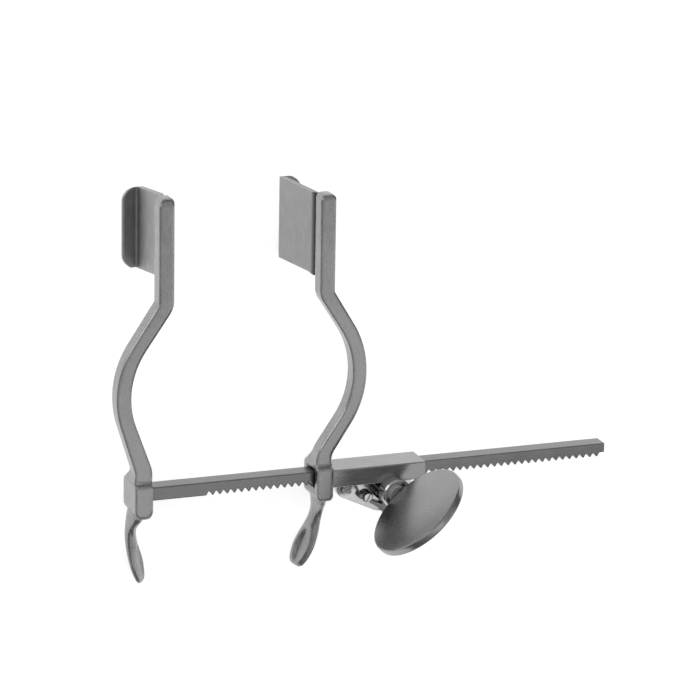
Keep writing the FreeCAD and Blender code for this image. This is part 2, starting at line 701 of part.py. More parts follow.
def front_bearing():
    """Round boss on the front wall, with a sleeve that reaches back under the wall to the pinion."""
    boss = post(PINION_X, PINION_Y, FRONT_BOSS_RADIUS, HOUSING_HALF, FRONT_BOSS_TOP)
    rim = [e for e in boss.Edges if abs(e.BoundBox.ZMin - FRONT_BOSS_TOP) < 1e-6]
    boss = boss.makeChamfer(FRONT_EDGE_CHAMFER, rim)
    sleeve = post(PINION_X, PINION_Y, FRONT_SLEEVE_RADIUS, CHANNEL_HALF, HOUSING_HALF + 1)
    side = 2 * FRONT_SLEEVE_RADIUS
    above = block(PINION_X - side, PINION_X + side, -HOUSING_BELOW - RUN, side, CHANNEL_HALF - 1, HOUSING_HALF)
    bore = post(PINION_X, PINION_Y, front_bush_radius(), CHANNEL_HALF - 1, FRONT_BOSS_TOP + 1)
    return boss.fuse(sleeve.cut(above)).cut([bore] + dowel_list())


def ring(outer, inner, z_low, z_high):
    return post(PINION_X, PINION_Y, outer, z_low, z_high).cut(
        post(PINION_X, PINION_Y, inner, z_low - 1, z_high + 1))


def front_bush():
    return ring(front_bush_radius(), SHAFT_RADIUS + SHAFT_RUN, HOUSING_HALF - 2, FRONT_BOSS_TOP)


def back_bush():
    return ring(back_bush_radius(), SHAFT_BACK_RADIUS + SHAFT_RUN, CARRIER_BACK, CARRIER_FACE)


# Pinion, shaft and thumb plate

def involute_point(base, roll):
    x = base * (math.cos(roll) + roll * math.sin(roll))
    y = base * (math.sin(roll) - roll * math.cos(roll))
    return x, y


def tooth_flank(steps):
    """Points of one flank as (radius, angle), from the root circle out to the tip circle."""
    base = PITCH_RADIUS * math.cos(math.radians(PRESSURE_ANGLE))
    pitch_x, pitch_y = involute_point(base, math.tan(math.radians(PRESSURE_ANGLE)))
    pitch_turn = math.atan2(pitch_y, pitch_x)
    half_tooth = (TOOTH_PITCH / 2 - PINION_BACKLASH) / 2 / PITCH_RADIUS
    last_roll = math.sqrt((PINION_TIP_RADIUS / base) ** 2 - 1)
    points = [(PINION_ROOT_RADIUS, half_tooth + pitch_turn)]
    for i in range(steps + 1):
        x, y = involute_point(base, last_roll * i / steps)
        points.append((math.hypot(x, y), half_tooth + pitch_turn - math.atan2(y, x)))
    return points


def pinion_gear():
    """Straight toothed pinion; a gap between two teeth points at the bar."""
    flank = tooth_flank(4)
    step = 2 * math.pi / PINION_TEETH
    points = []
    for i in range(PINION_TEETH):
        middle = math.pi / 2 + (i + 0.5) * step
        for radius, angle in flank:
            points.append((radius, middle - angle))
        for radius, angle in flank[::-1]:
            points.append((radius, middle + angle))
    corners = [(PINION_X + r * math.cos(a), PINION_Y + r * math.sin(a), 0) for r, a in points]
    gear = plan_solid(corners, -PINION_HALF, PINION_HALF)
    return gear.cut([post(PINION_X, PINION_Y, SHAFT_RADIUS, -PINION_HALF - 1, PINION_HALF + 1), key_pin()])


def key_pin():
    """Cross pin through the gear and the shaft, in line with two opposite gaps."""
    reach = PINION_ROOT_RADIUS - 0.2
    return Part.makeCylinder(KEY_PIN_RADIUS, 2 * reach, V(PINION_X, PINION_Y - reach, 0), V(0, 1, 0))


def tenon():
    tenon_block = block(-TENON_WIDTH / 2, TENON_WIDTH / 2, -TENON_THICKNESS / 2, TENON_THICKNESS / 2,
                        PLATE_EDGE - 0.5, PLATE_EDGE + TENON_LENGTH)
    tenon_block.rotate(V(0, 0, 0), V(0, 0, 1), PLATE_ANGLE)
    tenon_block.translate(V(PINION_X, PINION_Y, 0))
    return tenon_block


def drive_shaft():
    back = CARRIER_BACK - RUN
    shaft = post(PINION_X, PINION_Y, SHAFT_BACK_RADIUS, back, 0)
    shaft = shaft.fuse([
        post(PINION_X, PINION_Y, SHAFT_RADIUS, -PINION_HALF, COLLAR_BASE + 0.5),
        post(PINION_X, PINION_Y, COLLAR_RADIUS, COLLAR_BASE, PLATE_EDGE),
        tenon()])
    screw_hole = post(PINION_X, PINION_Y, END_SCREW_RADIUS, back, back + END_SCREW_DEPTH)
    return shaft.cut([screw_hole, key_pin()]).removeSplitter()


def end_washer():
    back = CARRIER_BACK - RUN
    return ring(WASHER_RADIUS, END_SCREW_RADIUS, back - WASHER_THICKNESS, back)


def end_screw():
    """Screw in the back end of the shaft; its slotted head faces down."""
    back = CARRIER_BACK - RUN
    seat = back - WASHER_THICKNESS
    head = slotted_head(0, 0, END_SCREW_HEAD, 0, END_SCREW_HEAD_HEIGHT, 20)
    head.rotate(V(0, 0, 0), V(1, 0, 0), 180)
    head.translate(V(PINION_X, PINION_Y, seat))
    return head.fuse(post(PINION_X, PINION_Y, END_SCREW_RADIUS, seat, back + END_SCREW_DEPTH))


def thumb_plate():
    """Thick round plate, a little fuller in the middle, that stands on edge on the shaft."""
    rim = PLATE_RIM_HALF
    low = PLATE_EDGE_BREAK
    high = PLATE_EDGE_BREAK * 0.3
    half = [(0, PLATE_HALF_THICKNESS), (PLATE_FLAT_RADIUS, PLATE_HALF_THICKNESS), (PLATE_RADIUS - low, rim),
            (PLATE_RADIUS - high, rim - high), (PLATE_RADIUS, rim - low)]
    outline = half + [(r, -y) for r, y in half[::-1]]
    plate = rounded_face([(r, y, 0) for r, y in outline], in_plan).revolve(V(0, 0, 0), V(0, 1, 0), 360)
    plate.rotate(V(0, 0, 0), V(0, 0, 1), PLATE_ANGLE)
    plate.translate(V(PINION_X, PINION_Y, PLATE_CENTRE_Z))
    foot = post(PINION_X, PINION_Y, COLLAR_RADIUS, PLATE_EDGE - TENON_LENGTH, PLATE_EDGE)
    return plate.cut([tenon(), foot])


# Pawl

def pawl_engaged():
    """Pawl as it sits in a gap of the pinion: eye, body under the teeth, nose, finger lug and tail."""
    body_top = PINION_Y - PINION_TIP_RADIUS - PAWL_TIP_GAP
    body_low = body_top - PAWL_BODY_HEIGHT
    nose_top = PINION_Y - PINION_ROOT_RADIUS - PAWL_NOSE_FROM_ROOT
    nose = PAWL_NOSE_WIDTH / 2
    lug_x = PINION_X + PAWL_LUG_OUT
    lug_y = PINION_Y - PAWL_LUG_DOWN
    flare = nose + PAWL_NOSE_FLARE
    corners = [
        (PIVOT_X, PIVOT_Y, 0),
        (PIVOT_X + PAWL_SHOULDER, PIVOT_Y - PAWL_SHOULDER_DOWN, 0),
        (PINION_X - flare, body_top, 0.3),
        (PINION_X - nose, nose_top, 0.15),
        (PINION_X + nose, nose_top, 0.15),
        (PINION_X + flare, body_top, 0.5),
        (PINION_X + PAWL_BACK_RUN, body_top - PAWL_BACK_STEP, 1.2),
        (lug_x + 0.4 * PAWL_LUG_WIDTH, lug_y + PAWL_LUG_RISE, 1.4),
        (lug_x - 0.6 * PAWL_LUG_WIDTH, lug_y, 1.4),
        (PINION_X - PAWL_BELLY, body_low, 2.5),
        (PIVOT_X, PIVOT_Y - 0.75 * PAWL_EYE_RADIUS, 0),
    ]
    body = plan_solid(corners, PAWL_BACK, PAWL_FRONT)
    eye = post(PIVOT_X, PIVOT_Y, PAWL_EYE_RADIUS, PAWL_BACK, PAWL_FRONT)
    tail_x = PIVOT_X - PAWL_TAIL
    tail = plan_solid([
        (PIVOT_X, PIVOT_Y + PAWL_TAIL_ROOT, 0), (tail_x, PIVOT_Y + PAWL_TAIL_TOP, 0.8),
        (tail_x, PIVOT_Y - PAWL_TAIL_LOW, 0.8), (PIVOT_X, PIVOT_Y - PAWL_TAIL_ROOT, 0)], PAWL_BACK, PAWL_FRONT)
    return body.fuse([eye, tail]).removeSplitter()


def pawl():
    """The pawl at rest is swung clear of the pinion, where the detent of its spring holds it."""
    shape = pawl_engaged().cut(post(PIVOT_X, PIVOT_Y, PIVOT_RADIUS + SHAFT_RUN, PAWL_BACK, PAWL_FRONT))
    shape.rotate(V(PIVOT_X, PIVOT_Y, 0), V(0, 0, 1), -PAWL_LIFT_ANGLE)
    return shape


def pawl_pivot_screw():
    neck = PAWL_FRONT + RUN
    head = slotted_head(PIVOT_X, PIVOT_Y, PIVOT_HEAD_RADIUS, neck, PIVOT_HEAD_HEIGHT, 65)
    shoulder = post(PIVOT_X, PIVOT_Y, PIVOT_RADIUS, CARRIER_FACE, neck)
    thread = post(PIVOT_X, PIVOT_Y, PIVOT_RADIUS * 0.75, CARRIER_BACK, CARRIER_FACE)
    return head.fuse([shoulder, thread])


def pawl_spring():
    """Leaf spring: a flat foot under the spring screw and an upright leaf that reaches the pawl's tail."""
    foot_top = CARRIER_FACE + SPRING_THICKNESS
    half = SPRING_FOOT / 2
    x = CARRIER_NOSE_X
    y = CARRIER_NOSE_Y
    foot = plan_solid([
        (x - half, y - half, 2.0), (x + half, y - half, 0.5), (x + half, y + half, 0),
        (x - half, y + half, 2.0)], CARRIER_FACE, foot_top)
    hole = post(x, y, SPRING_SCREW_RADIUS, CARRIER_FACE, foot_top)
    tip_x = PIVOT_X - PAWL_TAIL + 0.4
    tip_y = tail_top_y() + TIP_GAP
    path = [(x + half - 1.2, y + half - SPRING_THICKNESS / 2, SPRING_THICKNESS, 0),
            (x + half + 1.5, y + half - SPRING_THICKNESS / 2, SPRING_THICKNESS, 2.5),
            (tip_x, tip_y + SPRING_THICKNESS / 2, SPRING_THICKNESS, 0)]
    left, right = band(path)
    leaf = plan_solid(left + right[::-1], CARRIER_FACE, CARRIER_FACE + SPRING_HEIGHT)
    return foot.cut(hole).fuse(leaf).removeSplitter()


def tail_top_y():
    """Height of the tail's upper corner once the pawl is swung clear."""
    turn = math.radians(-PAWL_LIFT_ANGLE)
    return PIVOT_Y - PAWL_TAIL * math.sin(turn) + PAWL_TAIL_TOP * math.cos(turn)


def spring_screw():
    seat = CARRIER_FACE + SPRING_THICKNESS
    head = slotted_head(CARRIER_NOSE_X, CARRIER_NOSE_Y, SPRING_SCREW_HEAD, seat, SPRING_SCREW_HEIGHT, 25)
    return head.fuse(post(CARRIER_NOSE_X, CARRIER_NOSE_Y, SPRING_SCREW_RADIUS, CARRIER_BACK, seat))


# Laying the instrument down on its blades and tangs

def floor_height(points, tilt):
    """Lowest height of the points once they are turned about X by the tilt, in degrees."""
    sine = math.sin(math.radians(tilt))
    cosine = math.cos(math.radians(tilt))
    return min(p.y * sine + p.z * cosine for p in points)


def lay_angle(pieces):
    """Tilt about X at which the lower far corners of the blades and the backs of the tangs are level."""
    blades = pieces["fixed_blade"].tessellate(FLOOR_FINENESS)[0]
    tangs = pieces["fixed_arm"].tessellate(FLOOR_FINENESS)[0]
    low = 0.0
    high = 45.0
    while high - low > 1e-4:
        tilt = (low + high) / 2
        if floor_height(blades, tilt) < floor_height(tangs, tilt):
            low = tilt
        else:
            high = tilt
    return low


def assembly():
    return {
        "fixed_arm": fixed_arm(),
        "fixed_blade": blade(FIXED_FACE_X, -1, FIXED_BLADE_LEAN, FIXED_LIP_REACH),
        "rack_bar": rack_bar(),
        "rack_pin": rack_pin(),
        "sliding_arm": sliding_arm(),
        "sliding_blade": blade(SLIDE_FACE_X, 1, SLIDING_BLADE_LEAN, SLIDING_LIP_REACH),
        "slide_housing": slide_housing(),
        "housing_dowels": Part.makeCompound(housing_rivet_list()),
        "carrier_plate": carrier_plate(),
        "carrier_screws": Part.makeCompound(carrier_screw_list()),
        "front_bearing": front_bearing(),
        "bearing_dowels": Part.makeCompound(dowel_list()),
        "front_bush": front_bush(),
        "back_bush": back_bush(),
        "pawl_pivot_screw": pawl_pivot_screw(),
        "pawl_spring": pawl_spring(),
        "spring_screw": spring_screw(),
        "drive_shaft": drive_shaft(),
        "pinion_gear": pinion_gear(),
        "pinion_key_pin": key_pin(),
        "end_washer": end_washer(),
        "end_screw": end_screw(),
        "thumb_plate": thumb_plate(),
        "pawl": pawl(),
    }


def main():
    os.makedirs("parts", exist_ok=True)
    pieces = assembly()
    tilt = lay_angle(pieces)
    for shape in pieces.values():
        shape.rotate(V(0, 0, 0), V(1, 0, 0), tilt)
    boxes = [shape.optimalBoundingBox(False, False) for shape in pieces.values()]
    middle_x = (min(b.XMin for b in boxes) + max(b.XMax for b in boxes)) / 2
    middle_y = (min(b.YMin for b in boxes) + max(b.YMax for b in boxes)) / 2
    floor = min(b.ZMin for b in boxes)
    shift = V(-middle_x, -middle_y, -floor)
    for name, shape in pieces.items():
        shape.translate(shift)
        shape.exportStep(os.path.join("parts", name + ".step"))
    print("tilt %.4f degrees, shift %.4f %.4f %.4f" % (tilt, shift.x, shift.y, shift.z))
    for name, x, y in (("pinion axis", PINION_X, PINION_Y), ("pawl pivot", PIVOT_X, PIVOT_Y)):
        print(name, FreeCAD.Rotation(V(1, 0, 0), tilt).multVec(V(x, y, 0)) + shift)


main()
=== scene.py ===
# %% [markdown]
# # A self retaining retractor in satin steel
# Two bowed arms carry bent blades. One arm is fixed to a toothed bar, the other rides on the bar in a
# slide, and a round thumb plate turns the small pinion that moves it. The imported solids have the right
# sizes and places. This lesson gives them the soft edges and the metal of a real instrument, cuts the
# teeth of the bar with Geometry Nodes, and lights everything like a plain catalogue picture.

# %% Load the fixed frame
import bmesh
import bpy
import json
import math
from mathutils import Matrix, Vector


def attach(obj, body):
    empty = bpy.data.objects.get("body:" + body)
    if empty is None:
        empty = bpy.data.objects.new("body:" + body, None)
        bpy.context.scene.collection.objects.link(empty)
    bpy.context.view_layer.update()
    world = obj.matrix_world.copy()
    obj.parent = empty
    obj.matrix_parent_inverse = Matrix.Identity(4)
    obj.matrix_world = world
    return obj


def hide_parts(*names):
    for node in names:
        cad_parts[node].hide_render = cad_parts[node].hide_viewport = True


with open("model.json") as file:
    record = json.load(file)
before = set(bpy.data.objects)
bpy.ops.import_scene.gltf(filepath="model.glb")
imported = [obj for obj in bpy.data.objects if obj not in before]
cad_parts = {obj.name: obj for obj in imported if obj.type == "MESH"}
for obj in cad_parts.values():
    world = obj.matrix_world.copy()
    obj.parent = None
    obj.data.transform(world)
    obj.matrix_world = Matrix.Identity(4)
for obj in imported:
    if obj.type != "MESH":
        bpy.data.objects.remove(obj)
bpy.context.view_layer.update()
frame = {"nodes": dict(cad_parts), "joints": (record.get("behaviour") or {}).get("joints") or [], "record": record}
nodes = frame["nodes"]
record = frame["record"]
body_of = {node: body for body, members in record["behaviour"]["bodies"].items() for node in members}
scene = bpy.context.scene

# %% [markdown]
# The instrument lies on its blades and finger tangs, so the bar is tilted about X. The pinion stands
# square to the wide side of the bar, and the axis of its hinge gives the tilt. Turning a point back by
# that angle puts it in the bar's own directions, where X runs along the bar, Y towards the blades.

# %% Find the bar's own directions
pinion_hinge = next(joint for joint in frame["joints"] if joint["name"] == "pinion_turn")
pinion_axis = Vector(pinion_hinge["axis"])
TILT = math.atan2(-pinion_axis.y, pinion_axis.z)
to_row = Matrix.Rotation(TILT, 4, "X")
to_bar = to_row.inverted()


def bar_box(node):
    """Lowest and highest corner of a node in the bar's own directions."""
    places = [to_bar @ vertex.co for vertex in nodes[node].data.vertices]
    low = Vector([min(place[i] for place in places) for i in range(3)])
    high = Vector([max(place[i] for place in places) for i in range(3)])
    return low, high


bar_low, bar_high = bar_box("rack_bar")
print("tilt %.2f degrees, bar from %.4f to %.4f m" % (math.degrees(TILT), bar_low.x, bar_high.x))

# %% [markdown]
# ## The metal
# Surgical steel is matt, so that it doesn't dazzle under the lamp: it is ground along its length and then blasted
# or brushed. One flat grey would look like plastic, so each steel mixes two noises. A broad one shifts tone and
# roughness, and a long thin one draws the grinding lines and drives a very shallow bump. A Bevel node turns the
# normal softly over every edge, as on a forging that was finished by hand. Where it does so the steel is rubbed
# smoother and its colour is lighter, which is wear and a painted highlight. Rounding the solids themselves would
# fold their finest facets over each other. An Ambient Occlusion node finds corners and grooves and darkens the
# colour there, which is painted shade. Both noises read Object coordinates, so they stay on the metal when it
# moves.

# %% Helpers for the node materials
LINES_PER_METRE = 2400.0
CLOUDS_PER_METRE = 90.0
CREVICE_REACH = 0.004
SURFACE_SAMPLES = 8
FULL_WEAR_AND_SHEEN = 0.74       # cosine between soft and true normal
NO_WEAR_OR_SHEEN = 0.97
HOLLOW = 0.35           # share of open sky over the surface
OPEN = 0.85


def add_noise(tree, scale, stretch, detail):
    """Noise in Object coordinates; a small stretch value draws it out along that axis."""
    place = tree.nodes.new("ShaderNodeTexCoord")
    mapping = tree.nodes.new("ShaderNodeMapping")
    mapping.inputs["Scale"].default_value = stretch
    noise = tree.nodes.new("ShaderNodeTexNoise")
    noise.inputs["Scale"].default_value = scale
    noise.inputs["Detail"].default_value = detail
    tree.links.new(place.outputs["Object"], mapping.inputs["Vector"])
    tree.links.new(mapping.outputs["Vector"], noise.inputs["Vector"])
    return noise.outputs["Fac"]


def add_ramp(tree, value, low, high, low_at=0.35, high_at=0.65):
    """Colour ramp between two colours, or between two greys."""
    node = tree.nodes.new("ShaderNodeValToRGB")
    for element, position, colour in zip(node.color_ramp.elements, (low_at, high_at), (low, high)):
        red, green, blue = colour if isinstance(colour, tuple) else (colour, colour, colour)
        element.position = position
        element.color = (red, green, blue, 1.0)
    tree.links.new(value, node.inputs["Fac"])
    return node.outputs["Color"]


def add_mix(tree, first, second, share):
    """Blend of two colours; the share is a number or the output of another node."""
    node = tree.nodes.new("ShaderNodeMix")
    node.data_type = "RGBA"
    if isinstance(share, float):
        node.inputs["Factor"].default_value = share
    else:
        tree.links.new(share, node.inputs["Factor"])
    tree.links.new(first, node.inputs["A"])
    tree.links.new(second, node.inputs["B"])
    return node.outputs["Result"]


def add_rounding(tree, radius):
    """Normal that turns softly over an edge, and a mask that is near 1 where it does."""
    soft = tree.nodes.new("ShaderNodeBevel")
    soft.samples = SURFACE_SAMPLES
    soft.inputs["Radius"].default_value = radius
    true = tree.nodes.new("ShaderNodeNewGeometry")
    match = tree.nodes.new("ShaderNodeVectorMath")
    match.operation = "DOT_PRODUCT"
    tree.links.new(soft.outputs["Normal"], match.inputs[0])
    tree.links.new(true.outputs["Normal"], match.inputs[1])
    return soft.outputs["Normal"], add_ramp(tree, match.outputs["Value"], 1.0, 0.0, FULL_WEAR_AND_SHEEN, NO_WEAR_OR_SHEEN)


def add_crevices(tree, colour, tone):
    """The colour, darker where the piece is hollow: painted shade in corners and grooves."""
    hollow = tree.nodes.new("ShaderNodeAmbientOcclusion")
    hollow.samples = SURFACE_SAMPLES
    hollow.inputs["Distance"].default_value = CREVICE_REACH
    # Painted shade: the less open sky a point sees, the darker its colour.
    shade = add_ramp(tree, hollow.outputs["AO"], tone, 1.0, HOLLOW, OPEN)
    darker = tree.nodes.new("ShaderNodeMix")
    darker.data_type = "RGBA"
    darker.blend_type = "MULTIPLY"
    darker.inputs["Factor"].default_value = 1.0
    tree.links.new(colour, darker.inputs["A"])
    tree.links.new(shade, darker.inputs["B"])
    return darker.outputs["Result"]


# %% [markdown]
# Every finish could have a node tree of its own, but one recipe keeps them alike and is shorter. A finish chooses
# its tones, its roughness, the direction of its grinding, the tone and softness of its edges, and how dark the
# painted shade in its corners is and how deep its lines are. The rubbed edges, lighter through wear and painted
# highlight, are slightly uneven in tone.

# %% One recipe for every metal
CLOUD_DETAIL = 4.0
LINE_DETAIL = 3.0
CLOUD_SPREAD = (0.2, 0.8)
LINE_SPREAD = (0.3, 0.7)
LINE_HEIGHT = 0.00003
# The rubbed edges are lighter through wear and painted highlight.
RIM_SHADE = 0.85        # darkest tone of a rubbed edge against its lightest
RUBBED_SMOOTHER = 0.75


def worked_metal(name, dark, light, rough, stretch, edge, rounding, crevice_shade=0.35, bump=0.3):
    """Metal with grinding lines along the axis whose stretch is small, and rounded, rubbed edges that are lighter:
    wear and painted highlight.
    """
    material = bpy.data.materials.new(name)
    material.use_nodes = True
    tree = material.node_tree
    shader = tree.nodes["Principled BSDF"]
    shader.inputs["Metallic"].default_value = 1.0
    clouds = add_noise(tree, CLOUDS_PER_METRE, (1.0, 1.0, 1.0), CLOUD_DETAIL)
    lines = add_noise(tree, LINES_PER_METRE, stretch, LINE_DETAIL)
    soft_normal, wear_and_sheen = add_rounding(tree, rounding)
    body = add_mix(tree, add_ramp(tree, lines, dark, light, *LINE_SPREAD),
                   add_ramp(tree, clouds, dark, light, *CLOUD_SPREAD), 0.5)
    # Lighter rubbed edges: wear and painted highlight.
    rim = add_ramp(tree, clouds, tuple(RIM_SHADE * tone for tone in edge), edge)
    # Darker hollows: painted shade.
    tone = add_crevices(tree, add_mix(tree, body, rim, wear_and_sheen), crevice_shade)
    tree.links.new(tone, shader.inputs["Base Color"])
    smooth, coarse = rough
    matt = add_mix(tree, add_ramp(tree, clouds, smooth, coarse, *CLOUD_SPREAD),
                   add_ramp(tree, lines, smooth, coarse), 0.5)
    rubbed = add_ramp(tree, lines, smooth * RUBBED_SMOOTHER, smooth)
    tree.links.new(add_mix(tree, matt, rubbed, wear_and_sheen), shader.inputs["Roughness"])
    relief = tree.nodes.new("ShaderNodeBump")
    relief.inputs["Distance"].default_value = LINE_HEIGHT
    relief.inputs["Strength"].default_value = bump
    tree.links.new(lines, relief.inputs["Height"])
    tree.links.new(soft_normal, relief.inputs["Normal"])
    tree.links.new(relief.outputs["Normal"], shader.inputs["Normal"])
    return material


# %% [markdown]
# The blades are brazed under the arms. Beside each joint, on the side of each blade that faces the other one, a
# dark band is painted shade: the shade in the corner under the arm. A painted mask would need a picture, and a
# second piece of metal would have an edge of its own. So the band is mixed into the blade's steel by its height in
# the bar's own directions, which a dot product of the Object coordinates with one vector gives.

# %% The painted shade beside the brazed joint
CENTIMETRES_PER_METRE = 100.0
BAND_FULL = 0.50        # centimetres below the joint
BAND_GONE = 0.80
JOINT_SHADE_TONES = (0.03, 0.05)
SIDEWAYS = (0.3, 0.6)   # cosine between the surface and the side that faces the other blade


def add_brazed_joint(material, root, inward):
    """Painted shade: a dark band beside the joint with the arm, on the side of the blade that faces the other
    blade.
    """
    tree = material.node_tree
    shader = tree.nodes["Principled BSDF"]
    place = tree.nodes.new("ShaderNodeTexCoord")
    height = tree.nodes.new("ShaderNodeVectorMath")
    height.operation = "DOT_PRODUCT"
    height.inputs[1].default_value = to_row @ Vector((0.0, 0.0, 1.0))
    tree.links.new(place.outputs["Object"], height.inputs[0])
    depth = tree.nodes.new("ShaderNodeMath")
    depth.operation = "SUBTRACT"
    depth.inputs[0].default_value = root
    tree.links.new(height.outputs["Value"], depth.inputs[1])
    centimetres = tree.nodes.new("ShaderNodeMath")
    centimetres.operation = "MULTIPLY"
    centimetres.inputs[1].default_value = CENTIMETRES_PER_METRE
    tree.links.new(depth.outputs["Value"], centimetres.inputs[0])
    band = add_ramp(tree, centimetres.outputs["Value"], 1.0, 0.0, BAND_FULL, BAND_GONE)
    side = tree.nodes.new("ShaderNodeVectorMath")
    side.operation = "DOT_PRODUCT"
    side.inputs[1].default_value = (inward, 0.0, 0.0)
    tree.links.new(place.outputs["Normal"], side.inputs[0])
    facing = add_ramp(tree, side.outputs["Value"], 0.0, 1.0, *SIDEWAYS)
    both = tree.nodes.new("ShaderNodeMath")
    both.operation = "MULTIPLY"
    tree.links.new(band, both.inputs[0])
    tree.links.new(facing, both.inputs[1])
    clean = shader.inputs["Base Color"].links[0].from_socket
    # Painted shade: the band darkens the blade's colour beside the joint.
    painted_band = add_ramp(tree, both.outputs["Value"], *JOINT_SHADE_TONES)
    tree.links.new(add_mix(tree, clean, painted_band, both.outputs["Value"]), shader.inputs["Base Color"])
    return material


# %% [markdown]
# The forged arms are satin with clearly rubbed edges, lighter through wear and painted highlight. The bar is
# ground along its length and darker, the slide and the thumb plate are satin too, and screws, shaft, bearing and
# carrier plate are turned or milled bright. The leaf spring has the blue of tempered steel, and the bushes are
# bronze. In the stretch of the lines, the small number is the direction in which they run.

# %% The finishes
ALONG_BAR = (0.04, 1.0, 1.0)
ALONG_ARM = (1.0, 0.06, 0.3)
EVENLY = (1.0, 1.0, 1.0)
arm_steel = worked_metal(
    "satin_arm_steel", dark=(0.21, 0.21, 0.215), light=(0.38, 0.38, 0.385), rough=(0.22, 0.34),
    stretch=ALONG_ARM, edge=(0.56, 0.56, 0.56), rounding=0.0021, crevice_shade=0.35, bump=0.15)
blade_root = bar_box("fixed_blade")[1].z
fixed_blade_steel, sliding_blade_steel = [
    add_brazed_joint(worked_metal(
        name, dark=(0.26, 0.26, 0.265), light=(0.42, 0.42, 0.425), rough=(0.44, 0.56),
        stretch=ALONG_ARM, edge=(0.56, 0.56, 0.56), rounding=0.0008, crevice_shade=0.6, bump=0.2),
        blade_root, inward)
    for name, inward in (("satin_fixed_blade_steel", 1.0), ("satin_sliding_blade_steel", -1.0))]
bar_steel = worked_metal(
    "ground_bar_steel", dark=(0.13, 0.13, 0.134), light=(0.235, 0.235, 0.24), rough=(0.22, 0.34),
    stretch=ALONG_BAR, edge=(0.22, 0.22, 0.22), rounding=0.0006)
slide_steel = worked_metal(
    "satin_slide_steel", dark=(0.24, 0.24, 0.245), light=(0.38, 0.38, 0.385), rough=(0.20, 0.32),
    stretch=ALONG_BAR, edge=(0.40, 0.40, 0.40), rounding=0.0006, crevice_shade=0.6, bump=0.2)
plate_steel = worked_metal(
    "satin_plate_steel", dark=(0.24, 0.24, 0.244), light=(0.34, 0.34, 0.345), rough=(0.23, 0.31),
    stretch=EVENLY, edge=(0.60, 0.60, 0.60), rounding=0.0007, crevice_shade=0.35, bump=0.15)
screw_steel = worked_metal(
    "bright_screw_steel", dark=(0.48, 0.48, 0.49), light=(0.64, 0.64, 0.65), rough=(0.10, 0.20),
    stretch=EVENLY, edge=(0.85, 0.85, 0.85), rounding=0.0002, crevice_shade=0.9)
leaf_steel = worked_metal(
    "blued_leaf_steel", dark=(0.16, 0.17, 0.20), light=(0.26, 0.275, 0.31), rough=(0.20, 0.32),
    stretch=ALONG_BAR, edge=(0.46, 0.47, 0.50), rounding=0.0001)
bush_bronze = worked_metal(
    "turned_bush_bronze", dark=(0.36, 0.24, 0.12), light=(0.50, 0.35, 0.19), rough=(0.22, 0.34),
    stretch=EVENLY, edge=(0.66, 0.50, 0.32), rounding=0.0002)
print("finishes", len(bpy.data.materials))

# %% [markdown]
# ## Forged and turned pieces
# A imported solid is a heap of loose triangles, so light breaks at each of them. A copy is welded, its
# flat faces are joined again and it is shaded smooth. Weighted normals keep the wide flat faces flat in
# the light, while bows, tangs and bores run smoothly. Then the copy takes the place of the solid.

# %% Helpers for the pieces
SHARP_FROM = math.radians(28.0)
FLAT_WITHIN = math.radians(0.4)
SAME_PLACE = 1e-6


def new_piece(name, mesh):
    """A mesh as an object at the origin, in the scene."""
    piece = bpy.data.objects.new(name, mesh)
    scene.collection.objects.link(piece)
    return piece


def plain_mesh(piece):
    """Turn a piece's modifiers into a plain mesh."""
    depsgraph = bpy.context.evaluated_depsgraph_get()
    finished = bpy.data.meshes.new_from_object(piece.evaluated_get(depsgraph))
    piece.modifiers.clear()
    piece.data = finished
    return piece


def finished_piece(name, work):
    """Shade a bmesh smooth but for its sharp edges, and make it a piece."""
    for face in work.faces:
        face.smooth = True
    mesh = bpy.data.meshes.new(name)
    work.to_mesh(mesh)
    work.free()
    mesh.set_sharp_from_angle(angle=SHARP_FROM)
    piece = new_piece(name, mesh)
    flat = piece.modifiers.new("flat faces", "WEIGHTED_NORMAL")
    flat.keep_sharp = True
    return plain_mesh(piece)


def welded(node):
    """Merged copy of a node's mesh, with its flat faces joined again."""
    work = bmesh.new()
    work.from_mesh(nodes[node].data)
    bmesh.ops.remove_doubles(work, verts=work.verts, dist=SAME_PLACE)
    bmesh.ops.dissolve_limit(work, angle_limit=FLAT_WITHIN, verts=work.verts, edges=work.edges)
    return finished_piece("fine_" + node, work)


def stand_for(piece, node, finish):
    """Dress a piece, let it ride with the node's body and take the node's place."""
    piece.data.materials.clear()
    piece.data.materials.append(finish)
    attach(piece, body_of[node])
    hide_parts(node)


# %% [markdown]
# Each node gets the finish that its real piece has. Bar, pinion and pawl share the dark ground steel,
# because they run against each other. One list of nodes and one loop do what seventeen cells would.

# %% Weld and dress them
finish_of = {
    "fixed_arm": arm_steel, "sliding_arm": arm_steel,
    "fixed_blade": fixed_blade_steel, "sliding_blade": sliding_blade_steel,
    "slide_housing": slide_steel, "carrier_plate": screw_steel, "front_bearing": screw_steel,
    "drive_shaft": screw_steel, "pawl": bar_steel, "pinion_gear": bar_steel, "pawl_spring": leaf_steel,
    "front_bush": bush_bronze, "back_bush": bush_bronze, "pawl_pivot_screw": screw_steel,
    "spring_screw": screw_steel, "end_screw": screw_steel, "end_washer": screw_steel,
}
for node, finish in finish_of.items():
    piece = welded(node)
    stand_for(piece, node, finish)
    print(node, "faces", len(piece.data.polygons))

# %% [markdown]
# Pins, dowels and the flush screws are almost hidden. Their solids stay as they are and only get
# bright steel.

# %% Dress the hidden pins
for node in ("rack_pin", "housing_dowels", "carrier_screws", "bearing_dowels", "pinion_key_pin"):
    nodes[node].data.materials.clear()
    nodes[node].data.materials.append(screw_steel)
print("pins dressed")

# %% [markdown]
# ## The toothed bar
# The bar is the one long piece whose shape follows a rule: the same tooth fifty-six times. Modelling
# the teeth by hand would be slow, and an Array modifier would leave a seam at every tooth. Here a small
# node tree draws the outline of one tooth, repeats it along the bar, joins it to the rest of the
# outline, fills that outline and draws it out to the width of the bar. All sizes are named inputs.

# %% Build the tooth tree
SEAM_REACH = 0.000005


